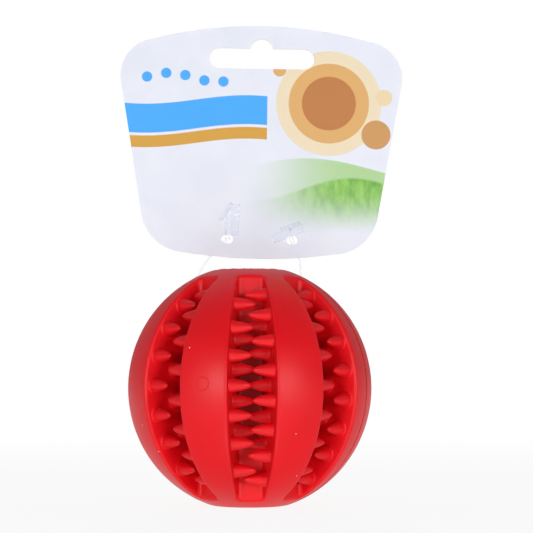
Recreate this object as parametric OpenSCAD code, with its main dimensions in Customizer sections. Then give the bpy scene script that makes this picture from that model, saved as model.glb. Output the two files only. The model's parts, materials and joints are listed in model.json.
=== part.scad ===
// A rubber dental treat ball with a squeaker in its upper pole, and the header card it is sold on.
// The origin is the centre of the flat that the ball stands on, +Z is up, and -Y is the front.

/* [Ball] */
// Diameter of the ball over its ribs
ball_d = 70; // [60:1:90]
// Height of the ball across the flats at its two poles
ball_h = 66.8; // [56:0.2:68]
// Number of grooves round the ball
groove_count = 8; // [6:2:8]
// Which rib, counted from the front groove, the parting plane runs through
seam_rib = 1; // [0:1:3]

/* [Grooves] */
// Width of a groove at the outside of the ball
groove_w = 13.5; // [12:0.1:15]
// Width of a groove at its floor
groove_floor_w = 7.25; // [6:0.05:9]
// Size of the core across two opposite groove floors
core_d = 32.2; // [30:0.2:36]
// Fillet between a groove's floor and its walls
groove_fillet_r = 1; // [0.6:0.1:1.2]

/* [Teeth] */
// Length of a tooth from the groove's wall to its tip
tooth_l = 6.1; // [5.6:0.1:7]
// Diameter of a tooth where it leaves the wall
tooth_base_d = 4.1; // [3.8:0.05:4.2]
// Diameter of a tooth where its stout foot turns into its point
tooth_waist_d = 2.9; // [2.6:0.05:3.1]
// Length of that foot
tooth_foot_l = 3; // [2.6:0.1:3.4]
// Radius of a tooth's round tip
tooth_tip_r = 0.65; // [0.4:0.05:0.7]
// Height of the middle of every row of teeth above the middle of the ball
tooth_lift = 0.7; // [0:0.1:1.2]
// How much lower than its pitch puts it the lowest tooth of each outer row stands
lowest_drop = 1.1; // [0:0.1:1.5]
// Radius of the circle that the outer row of teeth follows
outer_row_r = 31.1; // [30:0.1:31.5]
// Angle between neighbouring teeth of the outer row, in degrees
outer_row_pitch = 15; // [14:0.5:16]
// Teeth of the outer row on the left wall
outer_left_count = 7; // [3:1:7]
// Teeth of the outer row on the right wall
outer_right_count = 8; // [2:1:8]
// Radius of the circle that the inner row of teeth follows
inner_row_r = 24.9; // [24:0.1:26]
// Angle between neighbouring teeth of the inner row, in degrees
inner_row_pitch = 20; // [18:0.5:21]
// Teeth of the inner row on the left wall
inner_left_count = 4; // [2:1:4]
// Teeth of the inner row on the right wall
inner_right_count = 5; // [1:1:5]

/* [Air chamber and squeaker] */
// Diameter of the round air chamber in the core
chamber_d = 24; // [20:0.5:26]
// Diameter of the squeaker's barrel
barrel_d = 13; // [11:0.5:14]
// Wall of the squeaker's barrel
barrel_wall = 1.3; // [0.8:0.1:1.8]
// Length of the squeaker's barrel
barrel_l = 15; // [13:0.5:16]
// Diameter of the flange that keeps the barrel in the rubber
flange_d = 16.4; // [15:0.2:18]
// Thickness of that flange
flange_t = 1.6; // [1:0.1:2.4]
// Distance of the flange from the barrel's outer end
flange_depth = 7; // [4:0.5:9]
// Depth of the squeaker's cap inside the flat on top of the ball
cap_recess = 1.4; // [0.6:0.1:2]
// Thickness of the cap's rim
cap_t = 1.1; // [0.8:0.1:1.6]
// Length of the cap's spigot inside the barrel
cap_spigot_l = 2.2; // [1:0.1:3]
// Diameter of the air hole in the cap
cap_hole_d = 3; // [2:0.1:4]

/* [Reed] */
// Length of the reed's block and clamp, along the barrel
block_h = 8.6; // [8:0.2:9]
// Length over which the clamp holds the reed's root
clamp_h = 2.4; // [2:0.1:3]
// Thickness of the reed
reed_t = 0.3; // [0.2:0.05:0.5]
// Width of the reed
reed_w = 2.6; // [2:0.1:3]
// Width of the wind channel that the reed swings through
wind_w = 3.4; // [3.2:0.1:4]
// Depth of the wind channel on each side of the reed
wind_depth = 2.4; // [1.6:0.1:3]
// Thickness of the wall that closes the clamp's channel at its inner end
wind_wall = 1.2; // [0.8:0.1:1.6]
// Gap between the reed's tip and that wall
reed_tip_gap = 0.3; // [0.2:0.05:0.6]

/* [Header card] */
// Height of the card
card_h = 67.4; // [55:0.2:80]
// Thickness of the card
card_t = 0.5; // [0.3:0.05:0.8]
// Width of the card between its upper corner points, before they are rounded
card_shoulder_w = 84.2; // [70:0.2:95]
// Drop from the top of the card to its upper corner points
card_shoulder_drop = 7; // [5:0.1:8]
// Slope of the domed top edge at its ends, in degrees
card_top_slope = 14.9; // [13:0.1:17]
// Radius of the upper corners
card_top_corner_r = 10.6; // [6:0.2:11]
// Width of the card between its lower corner points, before they are rounded
card_foot_w = 64.6; // [55:0.2:70]
// Rise from the bottom of the card to its lower corner points
card_foot_rise = 3.2; // [2.6:0.1:3.6]
// Slope of the bowed bottom edge at its ends, in degrees
card_foot_slope = 8.7; // [8:0.1:10]
// Radius of the lower corners
card_foot_corner_r = 13; // [6:0.2:13]
// Distance from the ball's axis to the card's centre line
card_shift = 3.2; // [0:0.1:4]
// Gap between the card's bottom edge and the flat on top of the ball
card_gap = 3.35; // [3:0.05:6]
// How far the card is turned clockwise, seen from the front, in degrees
card_turn = 0.75; // [0:0.05:1.5]

/* [Hang slot] */
// Overall length of the slot
slot_l = 30.3; // [24:0.1:34]
// Height of the slot
slot_h = 5.9; // [4.6:0.1:7]
// Distance from the top of the card to the slot's centre line
slot_drop = 9.5; // [8:0.1:12]
// Radius of the hump over the middle of the slot
hump_r = 3.3; // [2.4:0.1:4]
// Height of the hump's centre above the slot's centre line
hump_lift = 2.4; // [1:0.1:3]

/* [Tag pins] */
// Distance between the two punched places in the card
punch_spacing = 18.5; // [12:0.1:24]
// Height of the punched places above the bottom of the card
punch_lift = 5.5; // [4:0.1:8]
// Diameter of one punched hole
punch_d = 2.5; // [2:0.1:3]
// Distance between the two overlapping holes of one punched place
punch_step = 0.9; // [0.6:0.1:1.4]
// Diameter of a pin's filament
strand_d = 0.5; // [0.4:0.05:0.7]
// Distance from the ball's axis to the place where a pin enters the rubber
pin_reach = 14.7; // [12:0.1:15]
// Radius of the loop that a pin makes in the rubber
loop_r = 1.6; // [1:0.1:2]
// Length of a pin's paddle
paddle_l = 9.2; // [7:0.1:11]
// Width of a pin's paddle
paddle_w = 2.6; // [2:0.1:3.4]
// Thickness of a pin's paddle
paddle_t = 0.6; // [0.4:0.05:1]
// Length of the bar at a pin's other end
bar_l = 6; // [4:0.1:9]
// Diameter of that bar
bar_d = 1.1; // [0.8:0.05:1.4]

/* [Hidden] */
$fn = 96;

// Clearances, and the overrun of every cut past the face that it opens
seat_fit = 0.05;
reed_fit = 0.1;
pin_gap = 0.3;
overrun = 1;

ball_r = ball_d / 2;
ball_z = ball_h / 2;
// The squeaker's seat lies in the upper flat, or on a ball whose flats are narrower than its flange
// where the ball is as wide as that
top_z = ball_z + min(ball_z, sqrt(ball_r * ball_r - flange_d * flange_d / 4));
middle_depth = top_z - ball_z;
core_r = core_d / 2;
groove_pitch = 360 / groove_count;
seam_turn = (seam_rib + 0.5) * groove_pitch;
front_turn = seam_turn - 90;
back_turn = seam_turn + 90;

// A groove's wall: its half width is a straight line of the distance from the ball's axis
wall_slope = (groove_w - groove_floor_w) / 2 / (ball_r - core_r);
wall_lean = atan(wall_slope);
wall_run = sqrt(1 + wall_slope * wall_slope);
function groove_half_w(reach) = groove_floor_w / 2 + wall_slope * (reach - core_r);
fillet_x = groove_floor_w / 2 + groove_fillet_r * (wall_slope - wall_run);
fillet_y = core_r + groove_fillet_r;

// A tooth: its point meets its tip where a round tip would be tangent to it
tip_run = [tooth_l - tooth_tip_r - tooth_foot_l, tooth_waist_d / 2];
point_flare = atan(tip_run.y / tip_run.x) - asin(tooth_tip_r / norm(tip_run));
point_end_r = tooth_tip_r * cos(point_flare);
point_end = tooth_foot_l + tip_run.x + tooth_tip_r * sin(point_flare);
tip_face_share = 0.5;

// The squeaker, as depths below the mouth of its seat
barrel_depth = cap_recess + cap_t;
barrel_bore_d = barrel_d - 2 * barrel_wall;
barrel_end = barrel_depth + barrel_l;
plug_r = barrel_bore_d / 2 - seat_fit;
block_depth = barrel_end - block_h;
wind_start = block_depth + clamp_h;
reed_half = reed_t / 2 + reed_fit;
reed_start = block_depth + clamp_h / 4;
reed_end = barrel_end - wind_wall - reed_tip_gap;

// The card's centre and the pins' places
card_z = top_z + card_gap + card_h / 2;
card_y = -(strand_d + card_t) / 2 - seat_fit;
pin_top_z = ball_z + min(ball_z, sqrt(ball_r * ball_r - pin_reach * pin_reach));
loop_z = pin_top_z - loop_r - strand_d;
strand_sides = 8;
strand_steps = 6;

// Of each pin, left then right: where its paddle and its bar lie above and beside the hole, as
// shares of the paddle's length, and how far they are turned from lying level
paddle_side_shares = [0.23, -0.12];
paddle_up_shares = [0.61, 0.2];
paddle_turns = [-87, -20];
bar_side_shares = [-0.03, -0.05];
bar_up_shares = [0.84, 0.42];
bar_turns = [-56, -20];

function outer_latitudes(count) =
    [for (i = [0 : count - 1]) (i - (count - 1) / 2) * outer_row_pitch];
function inner_latitudes(count) =
    [for (i = [0 : count - 1]) (i - (count - 1) / 2) * inner_row_pitch];

// One tooth, standing on the plane z = 0: a stout foot, a steeper point and a blunted tip
module tooth() {
    cylinder(h = tooth_foot_l, d1 = tooth_base_d, d2 = tooth_waist_d, $fn = 32);
    translate([0, 0, tooth_foot_l])
        cylinder(h = point_end - tooth_foot_l, r1 = tooth_waist_d / 2, r2 = point_end_r, $fn = 32);
    translate([0, 0, point_end])
        cylinder(h = tooth_l - point_end, r1 = point_end_r, r2 = point_end_r * tip_face_share, $fn = 32);
}

// A row of teeth, each square to one wall of the front groove: side is -1 for the left wall and 1
// for the right
module tooth_row(row_r, latitudes, side, drop = 0) {
    for (latitude = latitudes) {
        reach = row_r * cos(latitude);
        rise = tooth_lift + row_r * sin(latitude) - (latitude == min(latitudes) ? drop : 0);
        translate([side * groove_half_w(reach), -reach, ball_z + rise])
            rotate([0, 0, side * wall_lean])
                rotate([0, -side * 90, 0])
                    tooth();
    }
}

module groove_teeth() {
    tooth_row(outer_row_r, outer_latitudes(outer_left_count), -1, lowest_drop);
    tooth_row(outer_row_r, outer_latitudes(outer_right_count), 1, lowest_drop);
    tooth_row(inner_row_r, inner_latitudes(inner_left_count), -1);
    tooth_row(inner_row_r, inner_latitudes(inner_right_count), 1);
}

// The front groove's section, with round corners at its floor
module groove_section() {
    mouth = ball_r + overrun;
    foot_x = fillet_x + groove_fillet_r / wall_run;
    foot_y = fillet_y - groove_fillet_r * wall_slope / wall_run;
    polygon([
        [-fillet_x, -core_r], [-foot_x, -foot_y], [-groove_half_w(mouth), -mouth],
        [groove_half_w(mouth), -mouth], [foot_x, -foot_y], [fillet_x, -core_r]]);
    for (side = [-1, 1])
        translate([side * fillet_x, -fillet_y])
            circle(r = groove_fillet_r);
}

module groove() {
    translate([0, 0, -overrun])
        linear_extrude(height = ball_h + 2 * overrun)
            groove_section();
}

// The ball's solid on one side of the parting plane, before its grooves are cut
module half_blank(turn) {
    intersection() {
        translate([0, 0, ball_z])
            sphere(d = ball_d);
        rotate([0, 0, turn])
            translate([-ball_d, -2 * ball_d, 0])
                cube([2 * ball_d, 2 * ball_d, ball_h]);
    }
}

// Turns what is drawn with depths below the seat's mouth as heights into its place in the upper pole
module in_upper_pole() {
    translate([0, 0, top_z])
        mirror([0, 0, 1])
            children();
}

// The space for the squeaker, and the air chamber under it
module squeaker_space() {
    translate([0, 0, top_z - ball_h - overrun])
        cylinder(h = barrel_end + ball_h - top_z + overrun, d = barrel_d + 2 * seat_fit);
    translate([0, 0, barrel_depth + flange_depth - seat_fit])
        cylinder(h = flange_t + 2 * seat_fit, d = flange_d + 2 * seat_fit);
    translate([0, 0, barrel_depth])
        cylinder(h = middle_depth - barrel_depth, d = barrel_bore_d);
    translate([0, 0, middle_depth])
        sphere(d = chamber_d);
}

// A pin's loop in the rubber, with its neck up to the ball's surface
module pin_loop_shape(side, growth) {
    translate([side * pin_reach, 0, loop_z])
        rotate([0, 90, 0])
            rotate_extrude()
                translate([loop_r, 0])
                    circle(d = strand_d + 2 * growth, $fn = 32);
    translate([side * pin_reach, 0, loop_z + loop_r])
        cylinder(h = pin_top_z - loop_z - loop_r + growth, d = strand_d + 2 * growth, $fn = 32);
}

// Places its children, drawn for the front groove, in every groove of one half of the ball: turn is
// where the half's middle lies, seen from above
module in_grooves(turn) {
    first = ceil((turn - 90) / groove_pitch);
    last = floor((turn + 90) / groove_pitch);
    for (i = [first : last])
        rotate([0, 0, i * groove_pitch])
            children();
}

// One rubber half, without its teeth
module ball_half(turn, pin_side) {
    difference() {
        half_blank(turn);
        in_grooves(turn)
            groove();
        in_upper_pole()
            squeaker_space();
        pin_loop_shape(pin_side, seat_fit);
    }
}

module front_half() {
    color("crimson")
        ball_half(front_turn, -1);
}

module back_half() {
    color("firebrick")
        ball_half(back_turn, 1);
}

module front_teeth() {
    color("tomato")
        in_grooves(front_turn)
            groove_teeth();
}

module back_teeth() {
    color("indianred")
        in_grooves(back_turn)
            groove_teeth();
}

module squeaker_barrel() {
    color("whitesmoke")
        in_upper_pole()
            difference() {
                union() {
                    translate([0, 0, barrel_depth])
                        cylinder(h = barrel_l, d = barrel_d);
                    translate([0, 0, barrel_depth + flange_depth])
                        cylinder(h = flange_t, d = flange_d);
                }
                translate([0, 0, barrel_depth - overrun])
                    cylinder(h = barrel_l + 2 * overrun, d = barrel_bore_d);
            }
}

module squeaker_cap() {
    color("gainsboro")
        in_upper_pole()
            difference() {
                union() {
                    translate([0, 0, cap_recess])
                        cylinder(h = cap_t, d = barrel_d);
                    translate([0, 0, barrel_depth])
                        cylinder(h = cap_spigot_l, r = plug_r);
                }
                translate([0, 0, cap_recess - overrun])
                    cylinder(h = cap_t + cap_spigot_l + 2 * overrun, d = cap_hole_d);
            }
}

// Half of the plug in the barrel's inner end, in front of the reed or behind it
module half_plug(side) {
    intersection() {
        translate([0, 0, block_depth])
            cylinder(h = block_h, r = plug_r);
        translate([-barrel_d, side > 0 ? reed_half : -reed_half - barrel_d, block_depth])
            cube([2 * barrel_d, barrel_d, block_h]);
    }
}

module reed_block() {
    color("white")
        in_upper_pole()
            difference() {
                half_plug(-1);
                translate([-wind_w / 2, -reed_half - wind_depth, wind_start])
                    cube([wind_w, wind_depth + overrun, block_h]);
            }
}

// The clamp's channel is closed at its inner end, and an inlet leads into it from the outer end
module reed_clamp() {
    color("white")
        in_upper_pole()
            difference() {
                half_plug(1);
                translate([-wind_w / 2, reed_half - overrun, wind_start])
                    cube([wind_w, wind_depth + overrun, block_h - clamp_h - wind_wall]);
                translate([-wind_w / 2, reed_half + wind_depth / 2, block_depth - overrun])
                    cube([wind_w, wind_depth / 2, clamp_h + 2 * overrun]);
            }
}

module squeaker_reed() {
    color("silver")
        in_upper_pole()
            translate([-reed_w / 2, -reed_t / 2, reed_start])
                cube([reed_w, reed_t, reed_end - reed_start]);
}

module left_pin_loop() {
    color("aliceblue")
        pin_loop_shape(-1, 0);
}

module right_pin_loop() {
    color("aliceblue")
        pin_loop_shape(1, 0);
}

// The arc that rounds the corner b of the outline a, b, c with the radius r
corner_steps = 14;
function corner_arc(a, b, c, r) =
    let (
        p = (a - b) / norm(a - b),
        q = (c - b) / norm(c - b),
        half = acos(p * q) / 2,
        mid = (p + q) / norm(p + q),
        centre = b + mid * r / sin(half),
        start = b + p * r / tan(half) - centre,
        turn = cross(p, q) > 0 ? 2 * half - 180 : 180 - 2 * half)
    [for (i = [0 : corner_steps])
        let (t = turn * i / corner_steps)
            centre + [start.x * cos(t) - start.y * sin(t), start.x * sin(t) + start.y * cos(t)]];

// The bow of an edge, as the radius that its two end slopes and its rise give
function bow_r(half_w, slope, rise) = (half_w * tan(slope) - rise) / (1 / cos(slope) - 1);

// The radius r of the corner b, no larger than the rest of the edge beyond its bow has room for
function corner_r(a, b, c, r, room) =
    let (
        p = (a - b) / norm(a - b),
        q = (c - b) / norm(c - b))
    min(r, room * tan(acos(p * q) / 2));

module card_outline() {
    shoulder = [card_shoulder_w / 2, card_h / 2 - card_shoulder_drop];
    foot = [card_foot_w / 2, card_foot_rise - card_h / 2];
    top = [0, shoulder.y + shoulder.x * tan(card_top_slope)];
    bottom = [0, foot.y - foot.x * tan(card_foot_slope)];
    left_shoulder = [-shoulder.x, shoulder.y];
    left_foot = [-foot.x, foot.y];
    top_bow = bow_r(shoulder.x, card_top_slope, card_shoulder_drop);
    bottom_bow = bow_r(foot.x, card_foot_slope, card_foot_rise);
    top_room = norm(top - shoulder) - top_bow * tan(card_top_slope);
    bottom_room = norm(bottom - foot) - bottom_bow * tan(card_foot_slope);
    shoulder_r = corner_r(top, shoulder, foot, card_top_corner_r, top_room);
    foot_r = corner_r(shoulder, foot, bottom, card_foot_corner_r, bottom_room);
    polygon(concat(
        corner_arc(left_shoulder, top, shoulder, top_bow),
        corner_arc(top, shoulder, foot, shoulder_r),
        corner_arc(shoulder, foot, bottom, foot_r),
        corner_arc(foot, bottom, left_foot, bottom_bow),
        corner_arc(bottom, left_foot, left_shoulder, foot_r),
        corner_arc(left_foot, left_shoulder, top, shoulder_r)));
}

module slot_outline() {
    reach = (slot_l - slot_h) / 2;
    translate([0, card_h / 2 - slot_drop]) {
        square([2 * reach, slot_h], center = true);
        for (side = [-1, 1])
            translate([side * reach, 0])
                circle(d = slot_h);
        translate([0, hump_lift])
            circle(r = hump_r);
    }
}

// The two overlapping holes of each punched place
module punch_outline() {
    for (side = [-1, 1])
        translate([side * punch_spacing / 2, punch_lift - card_h / 2])
            for (step = [-1, 1])
                translate([step * punch_step / 2, 0])
                    circle(d = punch_d);
}

module header_card() {
    color("lavender")
        translate([card_shift, card_y + card_t / 2, card_z])
            rotate([90, card_turn, 0])
                linear_extrude(height = card_t)
                    difference() {
                        card_outline();
                        slot_outline();
                        punch_outline();
                    }
}

// Points between p1 and p2 of the smooth curve through p0, p1, p2 and p3
function curve_point(p0, p1, p2, p3, t) =
    0.5 * (2 * p1 + (p2 - p0) * t + (2 * p0 - 5 * p1 + 4 * p2 - p3) * t * t
        + (3 * p1 - p0 - 3 * p2 + p3) * t * t * t);
function smooth(points) =
    let (
        n = len(points),
        open = concat([2 * points[0] - points[1]], points, [2 * points[n - 1] - points[n - 2]]))
    concat(
        [for (i = [0 : n - 2]) for (k = [0 : strand_steps - 1])
            curve_point(open[i], open[i + 1], open[i + 2], open[i + 3], k / strand_steps)],
        [points[n - 1]]);

// A filament along a route of points
module strand(points) {
    route = smooth(points);
    last = len(route) - 1;
    rings = [for (i = [0 : last])
        let (
            along = route[min(i + 1, last)] - route[max(i - 1, 0)],
            t = along / norm(along),
            u = cross(t, [1, 0, 0]) / norm(cross(t, [1, 0, 0])),
            v = cross(t, u))
        [for (k = [0 : strand_sides - 1])
            let (a = 360 * k / strand_sides)
                route[i] + strand_d / 2 * (cos(a) * u + sin(a) * v)]];
    polyhedron(
        points = [for (ring = rings) each ring],
        faces = concat(
            [[for (k = [0 : strand_sides - 1]) k]],
            [for (i = [0 : last - 1]) for (k = [0 : strand_sides - 1]) each [
                [i * strand_sides + k, (i + 1) * strand_sides + k,
                    (i + 1) * strand_sides + (k + 1) % strand_sides],
                [i * strand_sides + k, (i + 1) * strand_sides + (k + 1) % strand_sides,
                    i * strand_sides + (k + 1) % strand_sides]]],
            [[for (k = [strand_sides - 1 : -1 : 0]) last * strand_sides + k]]));
}

// One pin: a paddle and a bar in front of the card, and the two filaments that go through the
// card's hole and down behind it to the rubber
module tag_pin(side) {
    which = side < 0 ? 0 : 1;
    hole_u = side * punch_spacing / 2;
    hole_v = punch_lift - card_h / 2;
    hole = [
        card_shift + hole_u * cos(card_turn) + hole_v * sin(card_turn),
        card_y,
        card_z - hole_u * sin(card_turn) + hole_v * cos(card_turn)];
    front = -card_t / 2 - seat_fit;
    paddle = hole + [paddle_side_shares[which] * paddle_l, front - paddle_t / 2,
        paddle_up_shares[which] * paddle_l];
    bar = hole + [bar_side_shares[which] * paddle_l, front - paddle_t - bar_d / 2,
        bar_up_shares[which] * paddle_l];
    behind = strand_d / 2 + seat_fit + card_t / 2;
    foot = [side * pin_reach, 0, pin_top_z + pin_gap];
    translate(paddle)
        rotate([0, paddle_turns[which], 0])
            cube([paddle_l, paddle_t, paddle_w], center = true);
    translate(bar)
        rotate([0, 90 + bar_turns[which], 0])
            cylinder(h = bar_l, d = bar_d, center = true, $fn = 24);
    strand([paddle, hole + [punch_step / 2, front - strand_d / 2, punch_d / 4],
        hole + [punch_step / 2, behind, 0] , (hole + foot) / 2 + [side * punch_step, behind, 0], foot]);
    strand([bar, hole + [-punch_step / 2, front - strand_d / 2, punch_d / 4],
        hole + [-punch_step / 2, behind, 0], (hole + foot) / 2 + [side * punch_step, behind, 0], foot]);
}

module left_tag_pin() {
    color("azure")
        tag_pin(-1);
}

module right_tag_pin() {
    color("azure")
        tag_pin(1);
}

front_half();
back_half();
front_teeth();
back_teeth();
squeaker_barrel();
squeaker_cap();
reed_block();
reed_clamp();
squeaker_reed();
left_pin_loop();
right_pin_loop();
header_card();
left_tag_pin();
right_tag_pin();
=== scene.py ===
"""A red rubber dental treat ball under its header card, which hangs on clear tag pins."""
import json
import math

import bpy
import numpy as np
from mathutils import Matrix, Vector


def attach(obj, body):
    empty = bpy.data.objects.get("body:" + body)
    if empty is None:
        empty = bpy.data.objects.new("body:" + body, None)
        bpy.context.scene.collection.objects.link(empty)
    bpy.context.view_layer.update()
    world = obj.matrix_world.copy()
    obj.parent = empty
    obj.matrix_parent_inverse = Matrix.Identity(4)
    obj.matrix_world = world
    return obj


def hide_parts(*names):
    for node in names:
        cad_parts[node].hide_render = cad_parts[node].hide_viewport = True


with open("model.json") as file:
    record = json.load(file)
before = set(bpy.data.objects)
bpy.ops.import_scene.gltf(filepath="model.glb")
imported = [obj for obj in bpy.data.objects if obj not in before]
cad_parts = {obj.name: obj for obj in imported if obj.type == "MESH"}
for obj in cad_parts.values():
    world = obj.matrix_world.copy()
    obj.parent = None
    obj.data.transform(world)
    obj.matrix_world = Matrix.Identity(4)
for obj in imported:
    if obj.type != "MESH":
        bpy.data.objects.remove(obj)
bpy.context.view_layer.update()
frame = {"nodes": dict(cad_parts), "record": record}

MM = 0.001

# The camera that fits the photograph's view: its place, its look and its focal length
CAMERA_MM = (-10.3, -490.7, 35.9)
CAMERA_TURN_DEG = 1.77
CAMERA_RISE_DEG = 3.74
FOCAL_PX = 1715
IMAGE_PX = 533
SENSOR_MM = 36

# The ball in millimetres, from its centre, with its axis along Z
BALL_R = 35
FLAT_Z = 33.4
CORE_R = 16.1
CHAMBER_R = 12
SEAT_R = 6.55
SEAT_DEPTH = 17.55
GROOVES = 8
GROOVE_W = 13.5
GROOVE_FLOOR_W = 7.25
FLOOR_FILLET = 1.0
RIB_EDGE_R = 0.7
POLE_EDGE_R = 0.3
WALL_SLOPE = (GROOVE_W - GROOVE_FLOOR_W) / 2 / (BALL_R - CORE_R)
WALL_RUN = math.hypot(1, WALL_SLOPE)

# The seam's plane holds the ball's axis: its turn about it, and the rounding of the halves' edges
SEAM_TURN_DEG = 67.5
SEAM_EDGE = 0.42

# A tooth: its length, its radius at the foot, how fast that lessens, the power that rounds its
# point, how deep it is rooted in the wall, and the fillet round its foot
TOOTH_L = 6.15
TOOTH_BASE_R = 2.05
TOOTH_TAPER = 0.18
TOOTH_POINT = 5
TOOTH_ROOT = 1.5
TOOTH_FILLET = 0.15

# All teeth stand this much higher than the ball's middle puts them, and the lowest of each outer
# row this much lower again
TOOTH_LIFT = 0.7
LOWEST_DROP = 1.1
OUTER_ROW_R = 31.1
INNER_ROW_R = 24.9
OUTER_PITCH_DEG = 15
INNER_PITCH_DEG = 20
# Of each row of teeth: its circle's radius, its pitch, its count, its wall, left or right, and how
# much lower its lowest tooth stands
ROWS = (
    (OUTER_ROW_R, OUTER_PITCH_DEG, 7, -1, LOWEST_DROP),
    (OUTER_ROW_R, OUTER_PITCH_DEG, 8, 1, LOWEST_DROP),
    (INNER_ROW_R, INNER_PITCH_DEG, 4, -1, 0),
    (INNER_ROW_R, INNER_PITCH_DEG, 5, 1, 0),
)
# Teeth are looked for in the grooves and this far round them, and a place with none near it counts
# as this far from them
TOOTH_NEAR = 1.5
TOOTH_FAR = 9.0

# The table of distances to a tooth: how far it reaches behind the foot, past the point and to the
# side, its margin and its cell, and how many points of a tooth's outline it is measured from
TABLE_BACK = 3
TABLE_AHEAD = 2
TABLE_SIDE = 3.2
TABLE_MARGIN = 0.1
TABLE_CELL = 0.05
OUTLINE_POINTS = 900

# The small dent where each pin enters the rubber: how far from the ball's axis it is, its radius,
# how far its middle stands over the rubber, and the rounding of its edge
PIN_REACH = 14.7
DENT_R = 0.85
DENT_RISE = 0.3
DENT_EDGE_R = 0.15
DENT_Z = math.sqrt(BALL_R ** 2 - PIN_REACH ** 2) + DENT_RISE

# The flash on the upper pole's rim: how far from the axis it begins, its height, the waves round
# the rim that break it up, as (count, phase), the share of the finest one, and how much is bare
FLASH_FROM_R = 7
FLASH_H = 0.22
FLASH_WAVES = ((9, 0.6), (23, 1.9), (57, 0))
FLASH_FINE = 0.4
FLASH_BARE = 0.25

# The surface's grid cell, and how its points are then settled: the rounds of moves along the slope,
# the step that tells the slope and the longest move, both in cells, and the least values that the
# slope's square and a move are divided by
CELL = 0.34
SETTLE_ROUNDS = 3
SETTLE_STEP = 0.05
SETTLE_MOVE = 0.5
LEAST_SLOPE_SQUARED = 0.25
LEAST_MOVE = 1e-9

# The gate's ring mark on the middle of the front half: its turn about the ball's axis, its height
# over the ball's centre, its radius and its line's width
GATE_TURN_DEG = -22.5
GATE_RISE_MM = 1.2
GATE_R_MM = 1.85
GATE_LINE_MM = 0.25

# The rubber's marks, each as where it is full and where it has gone: the seam's dark line by its
# distance from the seam, the painted shade that darkens the groove floors by that from the ball's
# centre, and a speck by that from the middle of its cell, in cells
SEAM_LINE_MM = (0.2, 0.7)
PAINTED_SHADE_MM = (16.5, 23.5)
SPECK_SIZE = (0.03, 0.055)
# The noise below which the seam's line is faint and above which it is full, and how faint it gets
SEAM_PATCHES = (0.34, 0.5)
SEAM_FAINT = 0.5
# The cells whose random value is over this hold a speck
SPECK_PICK = (0.80, 0.82)
# The share of the coarser of the two grains
GRAIN_SHARE = 0.6
# How strongly each mark covers the rubber's colour
RING_STRENGTH = 0.2
SEAM_STRENGTH = 0.75
SPECK_STRENGTH = 0.8

# The rubber's colours, as they look on screen
RED_DULL = (227, 4, 20)
RED_BRIGHT = (233, 5, 23)
# Painted shade: the darker red that the groove floors get in place of the shade of their recesses
RED_PAINTED_SHADE = (172, 1, 8)
RED_MARK = (176, 0, 8)
SPECK_PINK = (250, 225, 222)
BLOOM_PINK = (255, 215, 220)

# The header card in millimetres: its height, its shift to the right and its gap over the ball, and
# then its tilt
CARD_H = 67.4
CARD_SHIFT = 3.2
CARD_GAP = 3.35
CARD_TURN_DEG = 0.75

# The card's print, in millimetres from the card's middle
PRINT_SOFT = 0.12
BLUE = (66, 170, 250)
OCHRE = (214, 160, 60)
SAND = (222, 172, 104)
# The discs of the sun and round it: place, radius and colour
DISCS = (
    (19.5, 11.5, 15.2, (236, 220, 188)),
    (19.5, 11.5, 11.6, SAND),
    (19.5, 11.5, 7.8, (190, 122, 62)),
    (33.2, 2.6, 4.2, (205, 150, 88)),
    (35.4, 13.4, 2.4, (236, 214, 172)),
    (5.2, 21.0, 1.9, SAND),
)
# The bands: upper edge, lower edge and colour, the wave of their edges, and where they end
BANDS = ((12.0, 3.6, BLUE), (2.8, -0.6, OCHRE))
BAND_WAVE = (1.5, 62.0, 1.9)
BAND_END = (1.6, 1.9)
# The row of dots: their places along it, its level, its sway and the dots' radius
DOTS_X = (-33.0, -27.5, -22.0, -16.5, -11.0)
DOTS_Y = 18.4
DOTS_SWAY = 1.2
DOTS_PHASE = 1.3
DOT_R = 1.5
# The hills: level, height, length and phase of their edges, how soft the near one's is, how strong
# each is, and where both fade out to the left and downwards
FAR_HILL = (-7.5, 3.0, 74.0, 0.4)
NEAR_HILL = (-13.5, 3.4, 58.0, -1.3)
NEAR_HILL_SOFT = 0.5
FAR_HILL_STRENGTH = 0.75
NEAR_HILL_STRENGTH = 0.95
HILL_FADE_X = (-6.0, 26.0)
HILL_FADE_Y = (-27.0, -12.0)
FAR_HILL_GREEN = (150, 204, 92)
GRASS_DARK = (98, 168, 52)
GRASS_LIGHT = (152, 208, 96)
# How squarely a face looks to the card's front where its print has gone and where it is full
PRINT_FACING = (0.6, 0.7)

# Most of a noise's values lie between these
NOISE_RANGE = (0.3, 0.7)
# A Mix node's sockets for colours
MIX_A, MIX_B, MIX_RESULT = 6, 7, 2

# The floor in metres: half its side, and the distances from its middle where the camera begins to
# see it whiter and where it sees it white. The last number is its whiteness near the ball
FLOOR_HALF = 12.0
FLOOR_NEAR = 0.1
FLOOR_FAR = 0.7
FLOOR_NEAR_WHITE = 0.9

# The world's light on the object, from behind it (+Y) and from the front (-Y), and where between
# the two the one turns into the other
WORLD_BACK = 0.42
WORLD_FRONT = 0.1
WORLD_BACK_Y = 0.5
WORLD_FRONT_Y = -0.9

# Of each lamp: its place and its diameter in metres, and its power in watts
LAMPS = {
    "left_box": ((-0.563, -1.06, 0.06), 0.5, 7.8),
    "right_box": ((0.563, -1.06, 0.06), 0.5, 7.8),
    "back_box": ((0, 1.2, 0.35), 0.5, 6),
    "low_box": ((0, -0.8, -0.8), 0.6, 2.4),
}
LAMP_TARGET = (0, 0, 0.03)


def groove_half_width(reach):
    return GROOVE_FLOOR_W / 2 + WALL_SLOPE * (reach - CORE_R)


def smooth_max(a, b, r):
    """The larger of two distances, with the edge between them rounded to the radius r."""
    u = np.maximum(r + a, 0)
    v = np.maximum(r + b, 0)
    return np.minimum(-r, np.maximum(a, b)) + np.hypot(u, v)


def smooth_min(a, b, r):
    return -smooth_max(-a, -b, r)


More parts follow.
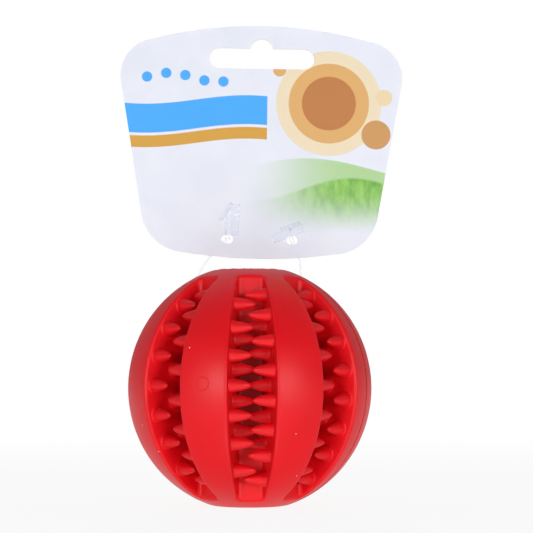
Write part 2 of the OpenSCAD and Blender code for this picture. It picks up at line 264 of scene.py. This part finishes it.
def tooth_table():
    """Distances to a tooth on a grid of places along and across its axis, from its outline."""
    t = np.linspace(-TABLE_BACK, TOOTH_L, OUTLINE_POINTS)
    r = (TOOTH_BASE_R - TOOTH_TAPER * t) * np.sqrt(1 - np.clip(t / TOOTH_L, 0, 1) ** TOOTH_POINT)
    along = np.arange(-TABLE_BACK, TOOTH_L + TABLE_AHEAD + TABLE_MARGIN, TABLE_CELL)
    across = np.arange(0, TABLE_SIDE + TABLE_MARGIN, TABLE_CELL)
    table = np.empty((len(along), len(across)))
    inner = np.interp(along, t, r, right=-1)
    for i, place in enumerate(along):
        far = np.sqrt(((t - place) ** 2)[:, None] + (r[:, None] - across) ** 2).min(axis=0)
        table[i] = np.where(across < inner[i], -far, far)
    return table


TOOTH_TABLE = tooth_table()


def tooth_distance(along, across):
    """Distance to a tooth, from the places along and across its axis."""
    u = (along + TABLE_BACK) / TABLE_CELL
    v = across / TABLE_CELL
    i = u.astype(int)
    j = v.astype(int)
    u, v = u - i, v - j
    low = TOOTH_TABLE[i, j] * (1 - v) + TOOTH_TABLE[i, j + 1] * v
    high = TOOTH_TABLE[i + 1, j] * (1 - v) + TOOTH_TABLE[i + 1, j + 1] * v
    return low * (1 - u) + high * u


def teeth():
    """Each tooth of the front groove as (wall, height, reach) in millimetres."""
    found = []
    for row_r, pitch, count, wall, drop in ROWS:
        for i in range(count):
            latitude = math.radians((i - (count - 1) / 2) * pitch)
            height = TOOTH_LIFT + row_r * math.sin(latitude) - (drop if i == 0 else 0)
            found.append((wall, height, row_r * math.cos(latitude)))
    return found


TEETH = teeth()


def rim_flash(turn):
    """How far the moulding's flash stands up on the upper pole's rim, in small uneven runs."""
    long, short, fine = (np.sin(count * turn + phase) for count, phase in FLASH_WAVES)
    return FLASH_H * np.clip(long * short + FLASH_FINE * fine - FLASH_BARE, 0, 1)


def ball_distance(p):
    """Signed distance to the rubber at the points p, in millimetres from the ball's centre."""
    x, y, z = p[:, 0], p[:, 1], p[:, 2]
    radius = np.sqrt(x * x + y * y + z * z)
    away = np.hypot(x, y)

    # The sphere less its grooves, with each place turned to the front groove
    pitch = 2 * math.pi / GROOVES
    turn_all = np.arctan2(x, -y)
    turn = turn_all - pitch * np.round(turn_all / pitch)
    side = away * np.sin(turn)
    reach = away * np.cos(turn)
    wall = (groove_half_width(reach) - np.abs(side)) / WALL_RUN
    floor = reach - CORE_R
    hollow = smooth_min(wall, floor, FLOOR_FILLET)
    cut = smooth_max(radius - BALL_R, hollow, RIB_EDGE_R)

    # The teeth, from the tooth's table
    near = (hollow > -TOOTH_NEAR) & (radius < BALL_R + TOOTH_NEAR)
    q_side, q_reach, q_z = side[near], reach[near], z[near]
    tooth = np.full(q_side.shape, TOOTH_FAR)
    for hand, height, place in TEETH:
        from_side = hand * q_side - groove_half_width(place)
        from_reach = q_reach - place
        along = (WALL_SLOPE * from_reach - from_side) / WALL_RUN
        across = np.hypot((from_reach + WALL_SLOPE * from_side) / WALL_RUN, q_z - height)
        close = (across < TABLE_SIDE) & (along > -TABLE_BACK) & (along < TOOTH_L + TABLE_AHEAD)
        d = np.maximum(tooth_distance(along[close], across[close]), -TOOTH_ROOT - along[close])
        tooth[close] = np.minimum(tooth[close], d)
    cut[near] = smooth_min(cut[near], tooth, TOOTH_FILLET)

    # The poles' flats, the pins' dents, the air chamber and the squeaker's seat
    has_flash = (z > 0) & (away > FLASH_FROM_R)
    flat = np.where(has_flash, FLAT_Z + rim_flash(turn_all), FLAT_Z)
    cut = smooth_max(cut, np.abs(z) - flat, POLE_EDGE_R)
    dent = np.sqrt((np.abs(x) - PIN_REACH) ** 2 + y * y + (z - DENT_Z) ** 2)
    cut = smooth_max(cut, DENT_R - dent, DENT_EDGE_R)
    chamber = radius - CHAMBER_R
    seat = np.maximum(away - SEAT_R, FLAT_Z - SEAT_DEPTH - z)
    return np.maximum(cut, -np.minimum(chamber, seat))


def half_distance(p, hand):
    """The same for one half: hand is -1 for the front half and 1 for the back half."""
    a = math.radians(SEAM_TURN_DEG)
    past = hand * (p[:, 0] * math.cos(a) + p[:, 1] * math.sin(a))
    return smooth_max(ball_distance(p), -past, SEAM_EDGE)


def sample(distance, axes):
    """The distance at every place of a grid, one slice at a time."""
    grid = np.empty([len(axis) for axis in axes], np.float32)
    yy, zz = np.meshgrid(axes[1], axes[2], indexing="ij")
    for i, x in enumerate(axes[0]):
        p = np.stack([np.full(yy.size, x), yy.ravel(), zz.ravel()], axis=1)
        grid[i] = distance(p).reshape(yy.shape)
    return grid


def crossed_cells(grid):
    """The grid's cells, with a number in each that the surface crosses and -1 in the others, and
    the middle of the crossings in each of the numbered cells, counted in cells."""
    inside = grid < 0
    counts = grid.shape
    total = np.zeros([n - 1 for n in counts] + [3], np.float32)
    crossings = np.zeros([n - 1 for n in counts], np.float32)
    for axis in range(3):
        first = [slice(None)] * 3
        second = [slice(None)] * 3
        first[axis], second[axis] = slice(0, -1), slice(1, None)
        a, b = grid[tuple(first)], grid[tuple(second)]
        cross = inside[tuple(first)] != inside[tuple(second)]
        with np.errstate(divide="ignore", invalid="ignore"):
            t = np.where(cross, a / (a - b), 0).astype(np.float32)
        others = [k for k in range(3) if k != axis]
        for j in range(2):
            for k in range(2):
                pick = [slice(None)] * 3
                pick[others[0]] = slice(j, counts[others[0]] - 1 + j)
                pick[others[1]] = slice(k, counts[others[1]] - 1 + k)
                c = cross[tuple(pick)]
                crossings += c
                total[..., axis] += np.where(c, t[tuple(pick)], 0)
                total[..., others[0]] += np.where(c, j, 0)
                total[..., others[1]] += np.where(c, k, 0)
    cells = crossings > 0
    index = np.full(cells.shape, -1, np.int64)
    index[cells] = np.arange(int(cells.sum()))
    return index, np.argwhere(cells) + total[cells] / crossings[cells][:, None]


def crossed_quads(inside, index):
    """A quad through the four cells round each edge that the surface crosses, facing one way."""
    quads = []
    for axis in range(3):
        others = [k for k in range(3) if k != axis]
        first = [slice(1, -1)] * 3
        second = [slice(1, -1)] * 3
        first[axis], second[axis] = slice(0, -1), slice(1, None)
        a, b = inside[tuple(first)], inside[tuple(second)]
        at = np.argwhere(a != b)
        out = a[tuple(at.T)]
        at = at + np.array([0 if k == axis else 1 for k in range(3)])
        ring = []
        for j, k in ((0, 0), (-1, 0), (-1, -1), (0, -1)):
            shift = np.zeros(3, int)
            shift[others[0]], shift[others[1]] = j, k
            ring.append(index[tuple((at + shift).T)])
        ring = np.stack(ring, axis=1)
        flip = out if axis != 1 else ~out
        ring[~flip] = ring[~flip][:, ::-1]
        quads.append(ring)
    return np.concatenate(quads)


def settled(points, distance, cell):
    """The points moved onto the surface where distance is zero, along its slope."""
    step = cell * SETTLE_STEP
    for _ in range(SETTLE_ROUNDS):
        slope = np.stack([
            (distance(points + along) - distance(points - along)) / (2 * step)
            for along in np.eye(3) * step], axis=1)
        size = np.maximum((slope ** 2).sum(axis=1), LEAST_SLOPE_SQUARED)
        move = slope * (distance(points) / size)[:, None]
        reach = np.linalg.norm(move, axis=1, keepdims=True)
        points = points - move * np.minimum(1, cell * SETTLE_MOVE / np.maximum(reach, LEAST_MOVE))
    return points


def surface(distance, low, high, cell):
    """Vertices and outward quads of the surface where distance is zero, between two corners."""
    counts = [int(math.ceil((h - l) / cell)) + 1 for l, h in zip(low, high)]
    grid = sample(distance, [l + cell * np.arange(n) for l, n in zip(low, counts)])
    index, places = crossed_cells(grid)
    quads = crossed_quads(grid < 0, index)
    points = settled(places * cell + np.array(low), distance, cell)
    a, b, c = (points[quads[:, k]] for k in (0, 1, 2))
    if (np.cross(b - a, c - a) * a).sum() < 0:
        quads = quads[:, ::-1]
    return points, quads


def mesh_object(name, points, faces):
    mesh = bpy.data.meshes.new(name)
    mesh.from_pydata(points.tolist(), [], faces.tolist())
    mesh.polygons.foreach_set("use_smooth", [True] * len(mesh.polygons))
    mesh.update()
    obj = bpy.data.objects.new(name, mesh)
    bpy.context.collection.objects.link(obj)
    return obj


class Nodes:
    """The nodes of one material, with short calls for the sums that its patterns need."""

    def __init__(self, name):
        self.material = bpy.data.materials.new(name)
        self.material.use_nodes = True
        self.tree = self.material.node_tree
        self.shader = self.tree.nodes["Principled BSDF"]
        self.output = self.tree.nodes["Material Output"]
        coordinates = self.tree.nodes.new("ShaderNodeTexCoord").outputs
        self.place = coordinates["Object"]
        self.normal = coordinates["Normal"]

    def link(self, value, socket):
        if isinstance(value, bpy.types.NodeSocket):
            self.tree.links.new(value, socket)
        else:
            socket.default_value = value

    def sum(self, operation, *values):
        node = self.tree.nodes.new("ShaderNodeMath")
        node.operation = operation
        for value, socket in zip(values, node.inputs):
            self.link(value, socket)
        return node.outputs[0]

    def times(self, a, b):
        return self.sum("MULTIPLY", a, b)

    def vector(self, operation, *values):
        node = self.tree.nodes.new("ShaderNodeVectorMath")
        node.operation = operation
        for value, socket in zip(values, node.inputs):
            self.link(value, socket)
        is_number = operation in ("DOT_PRODUCT", "LENGTH", "DISTANCE")
        return node.outputs["Value" if is_number else "Vector"]

    def along(self, direction, start=(0, 0, 0)):
        """How far a point lies from start along a direction, in metres."""
        offset = self.vector("SUBTRACT", self.place, start)
        return self.vector("DOT_PRODUCT", offset, direction)

    def noise(self, scale, detail=3.0, roughness=0.5, stretch=None):
        node = self.tree.nodes.new("ShaderNodeTexNoise")
        place = self.vector("MULTIPLY", self.place, stretch) if stretch else self.place
        self.link(place, node.inputs["Vector"])
        node.inputs["Scale"].default_value = scale
        node.inputs["Detail"].default_value = detail
        node.inputs["Roughness"].default_value = roughness
        return node.outputs["Fac"]

    def cells(self, scale):
        """Distance to the middle of the nearest cell, and a random value of that cell."""
        node = self.tree.nodes.new("ShaderNodeTexVoronoi")
        self.link(self.place, node.inputs["Vector"])
        node.inputs["Scale"].default_value = scale
        split = self.tree.nodes.new("ShaderNodeSeparateColor")
        self.tree.links.new(node.outputs["Color"], split.inputs["Color"])
        return node.outputs["Distance"], split.outputs["Red"]

    def ramp(self, value, low, high, to_low=0.0, to_high=1.0):
        """The value's range low to high turned smoothly into the range to_low to to_high."""
        node = self.tree.nodes.new("ShaderNodeMapRange")
        node.interpolation_type = "SMOOTHSTEP"
        for key, number in (("Value", value), ("From Min", low), ("From Max", high),
                            ("To Min", to_low), ("To Max", to_high)):
            self.link(number, node.inputs[key])
        return node.outputs["Result"]

    def fade(self, value, full, gone):
        """1 up to the value full, and smoothly down to 0 at the value gone."""
        return self.ramp(value, full, gone, 1.0, 0.0)

    def spread(self, noise, to_low=0.0, to_high=1.0):
        """A noise spread over the range to_low to to_high."""
        return self.ramp(noise, *NOISE_RANGE, to_low, to_high)

    def mix(self, share, a, b):
        node = self.tree.nodes.new("ShaderNodeMix")
        node.data_type = "RGBA"
        self.link(share, node.inputs["Factor"])
        for value, socket in ((a, node.inputs[MIX_A]), (b, node.inputs[MIX_B])):
            self.link(value if isinstance(value, bpy.types.NodeSocket) else colour(*value), socket)
        return node.outputs[MIX_RESULT]

    def bump(self, height, distance, strength=1.0, after=None):
        node = self.tree.nodes.new("ShaderNodeBump")
        node.inputs["Strength"].default_value = strength
        node.inputs["Distance"].default_value = distance
        self.link(height, node.inputs["Height"])
        if after is not None:
            self.link(after, node.inputs["Normal"])
        return node.outputs["Normal"]

    def finish(self, **sockets):
        for name, value in sockets.items():
            self.link(value, self.shader.inputs[name.replace("_", " ")])
        return self.material


def linear(value):
    """An sRGB value, 0 to 255, as linear light, 0 to 1."""
    value /= 255
    return value / 12.92 if value <= 0.04045 else ((value + 0.055) / 1.055) ** 2.4


def colour(r, g, b):
    """A colour that is written as it looks on screen, 0 to 255."""
    return (linear(r), linear(g), linear(b), 1)


def rubber_material():
    """Matte rubber with a faint bloom, the gate's ring, the seam's dark line, pale specks, and
    painted shade that darkens the groove floors.
    """
    n = Nodes("red_rubber")
    blotch = n.noise(scale=60, detail=2)
    grain = n.noise(scale=1400, detail=2)
    fine = n.noise(scale=5200, detail=1)

    a = math.radians(GATE_TURN_DEG)
    gate = (BALL_R * MM * math.sin(a), -BALL_R * MM * math.cos(a), (FLAT_Z + GATE_RISE_MM) * MM)
    from_gate = n.vector("DISTANCE", n.place, gate)
    from_ring = n.sum("ABSOLUTE", n.sum("SUBTRACT", from_gate, GATE_R_MM * MM))
    ring = n.fade(from_ring, 0.0, GATE_LINE_MM * MM)

    a = math.radians(SEAM_TURN_DEG)
    from_seam = n.sum("ABSOLUTE", n.along((math.cos(a), math.sin(a), 0)))
    broken = n.ramp(n.noise(scale=420, detail=2), *SEAM_PATCHES, to_low=SEAM_FAINT)
    seam = n.times(n.fade(from_seam, *(far * MM for far in SEAM_LINE_MM)), broken)

    # Painted shade: the red darkens towards the ball's centre, so that the groove floors look
    # shaded
    from_centre = n.vector("DISTANCE", n.place, (0, 0, FLAT_Z * MM))
    painted_shade = n.fade(from_centre, *(far * MM for far in PAINTED_SHADE_MM))
    from_cell, pick = n.cells(scale=240)
    speck = n.times(n.fade(from_cell, *SPECK_SIZE), n.ramp(pick, *SPECK_PICK))

    base = n.mix(n.spread(blotch), RED_DULL, RED_BRIGHT)
    base = n.mix(painted_shade, base, RED_PAINTED_SHADE)
    mark = n.sum("MAXIMUM", n.times(ring, RING_STRENGTH), n.times(seam, SEAM_STRENGTH))
    base = n.mix(mark, base, RED_MARK)
    base = n.mix(n.times(speck, SPECK_STRENGTH), base, SPECK_PINK)
    height = n.sum("ADD", n.times(grain, GRAIN_SHARE), n.times(fine, 1 - GRAIN_SHARE))
    grained = n.bump(height, distance=0.06 * MM, strength=0.5)
    normal = n.bump(n.times(ring, -1.0), distance=0.05 * MM, after=grained)
    return n.finish(
        Base_Color=base, Roughness=n.ramp(blotch, 0.3, 0.75, 0.41, 0.47), Normal=normal,
        Specular_IOR_Level=0.34, Sheen_Weight=0.02, Sheen_Roughness=0.35,
        Sheen_Tint=colour(*BLOOM_PINK))


def plastic_material():
    n = Nodes("white_plastic")
    cloud = n.noise(scale=300, detail=2)
    return n.finish(
        Base_Color=n.mix(cloud, (232, 231, 226), (240, 239, 235)),
        Roughness=n.spread(cloud, 0.32, 0.42),
        Normal=n.bump(n.noise(scale=3000, detail=2), distance=0.02 * MM, strength=0.4))


def film_material():
    n = Nodes("reed_film")
    brush = n.noise(scale=900, detail=2, stretch=(1, 1, 0.05))
    return n.finish(
        Base_Color=n.mix(brush, (214, 218, 222), (226, 229, 232)),
        Roughness=n.spread(brush, 0.2, 0.3),
        Normal=n.bump(brush, distance=0.01 * MM, strength=0.3))


def nylon_material():
    n = Nodes("clear_nylon")
    cloud = n.noise(scale=500, detail=2)
    return n.finish(
        Base_Color=n.mix(cloud, (222, 225, 233), (230, 232, 239)),
        Roughness=n.spread(cloud, 0.26, 0.36),
        Normal=n.bump(n.noise(scale=1800, detail=2), distance=0.02 * MM, strength=0.3),
        Transmission_Weight=0.75, IOR=1.2, Alpha=0.24)


def card_material():
    """Coated board, printed on the front with bands, a sun and soft hills."""
    n = Nodes("printed_card")
    a = math.radians(CARD_TURN_DEG)
    middle = (CARD_SHIFT * MM, 0, (2 * FLAT_Z + CARD_GAP + CARD_H / 2) * MM)
    x = n.times(n.along((math.cos(a), 0, -math.sin(a)), middle), 1 / MM)
    y = n.times(n.along((math.sin(a), 0, math.cos(a)), middle), 1 / MM)

    def wave(level, height, length, phase):
        angle = n.sum("ADD", n.times(x, 2 * math.pi / length), phase)
        return n.sum("ADD", n.times(n.sum("SINE", angle), height), level)

    def under(edge, soft=PRINT_SOFT):
        return n.ramp(n.sum("SUBTRACT", edge, y), -soft, soft)

    def disc(at_x, at_y, r):
        squares = [n.sum("POWER", n.sum("SUBTRACT", place, at), 2.0)
                   for place, at in ((x, at_x), (y, at_y))]
        return n.fade(n.sum("SQRT", n.sum("ADD", *squares)), r - PRINT_SOFT, r + PRINT_SOFT)

    paint = n.mix(n.spread(n.noise(scale=90)), (227, 231, 243), (232, 235, 246))
    for at_x, at_y, r, tone in DISCS:
        paint = n.mix(disc(at_x, at_y, r), paint, tone)

    hills = n.times(n.ramp(x, *HILL_FADE_X), n.ramp(y, *HILL_FADE_Y))
    blades = n.noise(scale=420, detail=4, roughness=0.6, stretch=(1, 1, 0.4))
    grass = n.mix(n.spread(blades), GRASS_DARK, GRASS_LIGHT)
    far_hill = n.times(under(wave(*FAR_HILL)), n.times(hills, FAR_HILL_STRENGTH))
    near_hill = n.times(under(wave(*NEAR_HILL), NEAR_HILL_SOFT),
                        n.times(hills, NEAR_HILL_STRENGTH))
    paint = n.mix(far_hill, paint, FAR_HILL_GREEN)
    paint = n.mix(near_hill, paint, grass)

    left = n.fade(x, *BAND_END)
    for top, bottom, tone in BANDS:
        upper, lower = (under(wave(level, *BAND_WAVE)) for level in (top, bottom))
        band = n.sum("MAXIMUM", n.sum("SUBTRACT", upper, lower), 0.0)
        paint = n.mix(n.times(band, left), paint, tone)
    for i, at_x in enumerate(DOTS_X):
        at_y = DOTS_Y + DOTS_SWAY * math.sin(DOTS_PHASE * i)
        paint = n.mix(disc(at_x, at_y, DOT_R), paint, BLUE)

    fibre = n.noise(scale=2600, roughness=0.6, stretch=(1, 1, 0.2))
    stock = n.mix(fibre, (226, 224, 222), (240, 239, 238))
    facing = n.ramp(n.vector("DOT_PRODUCT", n.normal, (0, -1, 0)), *PRINT_FACING)
    return n.finish(
        Base_Color=n.mix(facing, stock, paint),
        Roughness=n.spread(fibre, 0.36, 0.46),
        Normal=n.bump(n.noise(scale=1500), distance=0.02 * MM, strength=0.3),
        Coat_Weight=0.15, Coat_Roughness=0.25)


def floor_material():
    """A pale floor that keeps the ball's shadow and is white where the camera sees it."""
    n = Nodes("studio_floor")
    cloud = n.noise(scale=3, detail=2)
    n.finish(Base_Color=n.mix(cloud, (246, 246, 246), (251, 251, 251)), Roughness=0.9)
    path = n.tree.nodes.new("ShaderNodeLightPath").outputs
    seen = n.sum("MAXIMUM", path["Is Camera Ray"],
                 n.sum("MAXIMUM", path["Is Glossy Ray"], path["Is Transmission Ray"]))
    white = n.ramp(n.vector("LENGTH", n.place), FLOOR_NEAR, FLOOR_FAR, to_low=FLOOR_NEAR_WHITE)
    light = n.tree.nodes.new("ShaderNodeEmission")
    mixer = n.tree.nodes.new("ShaderNodeMixShader")
    for source, socket in zip((n.times(seen, white), n.shader.outputs[0], light.outputs[0]),
                              mixer.inputs):
        n.link(source, socket)
    n.link(mixer.outputs[0], n.output.inputs["Surface"])
    return n.material


def soft_world():
    """A white surround for the camera, and for the object a soft light, stronger from behind."""
    world = bpy.data.worlds.new("studio")
    bpy.context.scene.world = world
    world.use_nodes = True
    tree = world.node_tree
    new, link = tree.nodes.new, tree.links.new
    split = new("ShaderNodeSeparateXYZ")
    link(new("ShaderNodeTexCoord").outputs["Generated"], split.inputs[0])
    level = new("ShaderNodeMapRange")
    level.interpolation_type = "SMOOTHSTEP"
    link(split.outputs["Y"], level.inputs["Value"])
    for key, value in (("From Min", WORLD_BACK_Y), ("From Max", WORLD_FRONT_Y),
                       ("To Min", WORLD_BACK), ("To Max", WORLD_FRONT)):
        level.inputs[key].default_value = value
    path = new("ShaderNodeLightPath").outputs
    seen = new("ShaderNodeMath")
    seen.operation = "MAXIMUM"
    link(path["Is Camera Ray"], seen.inputs[0])
    link(path["Is Transmission Ray"], seen.inputs[1])
    strength = new("ShaderNodeMix")
    link(seen.outputs[0], strength.inputs["Factor"])
    link(level.outputs["Result"], strength.inputs["A"])
    strength.inputs["B"].default_value = 1
    background = tree.nodes["Background"]
    link(strength.outputs["Result"], background.inputs["Strength"])
    background.inputs["Color"].default_value = (1, 1, 1, 1)


def lamp(name, place, size, power):
    """A round lamp that shines at the object."""
    data = bpy.data.lights.new(name, "AREA")
    data.shape = "DISK"
    data.size = size
    data.energy = power
    obj = bpy.data.objects.new(name, data)
    bpy.context.collection.objects.link(obj)
    obj.location = place
    look = Vector(LAMP_TARGET) - Vector(place)
    obj.rotation_euler = look.to_track_quat("-Z", "Y").to_euler()
    return obj


materials = {"red_rubber": rubber_material(), "white_plastic": plastic_material(),
             "reed_film": film_material(), "clear_nylon": nylon_material(),
             "printed_card": card_material()}
slots = {entry["node"]: entry["material_slot"] for entry in frame["record"]["subparts"]}
for node, obj in frame["nodes"].items():
    for slot in obj.material_slots:
        slot.material = materials[slots[node]]

# The two rubber halves, each with its teeth, rounded where the moulding is round
reach = np.array([BALL_R, BALL_R, FLAT_Z]) + 2 * CELL
for name, hand, replaced in (("front_rubber", -1, ("front_half", "front_teeth")),
                             ("back_rubber", 1, ("back_half", "back_teeth"))):
    points, quads = surface(lambda p: half_distance(p, hand), -reach, reach, CELL)
    half = mesh_object(name, (points + np.array([0, 0, FLAT_Z])) * MM, quads)
    half.data.materials.append(materials["red_rubber"])
    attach(half, "ball")
    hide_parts(*replaced)

floor = mesh_object("studio_floor", FLOOR_HALF * np.array(
    [[-1, -1, 0], [1, -1, 0], [1, 1, 0], [-1, 1, 0]]), np.array([[0, 1, 2, 3]]))
floor.data.materials.append(floor_material())

soft_world()
lamps = {name: lamp(name, *facts) for name, facts in LAMPS.items()}

# The lamp behind the card shows in no reflection and through no clear piece
back_box = lamps["back_box"]
back_box.visible_camera = back_box.visible_glossy = back_box.visible_transmission = False

# The low lamp shines up through the floor, as through a glass table
clear = bpy.data.collections.new("clear_for_low_box")
clear.objects.link(floor)
clear.collection_objects[0].light_linking.link_state = "EXCLUDE"
lamps["low_box"].light_linking.blocker_collection = clear

camera = bpy.data.objects.new("camera", bpy.data.cameras.new("camera"))
bpy.context.collection.objects.link(camera)
camera.location = Vector(CAMERA_MM) * MM
camera.rotation_euler = (math.radians(90 + CAMERA_RISE_DEG), 0, -math.radians(CAMERA_TURN_DEG))
camera.data.sensor_width = SENSOR_MM
camera.data.lens = FOCAL_PX / IMAGE_PX * SENSOR_MM
bpy.context.scene.camera = camera

bpy.context.scene.view_settings.view_transform = "Standard"
bpy.context.view_layer.update()
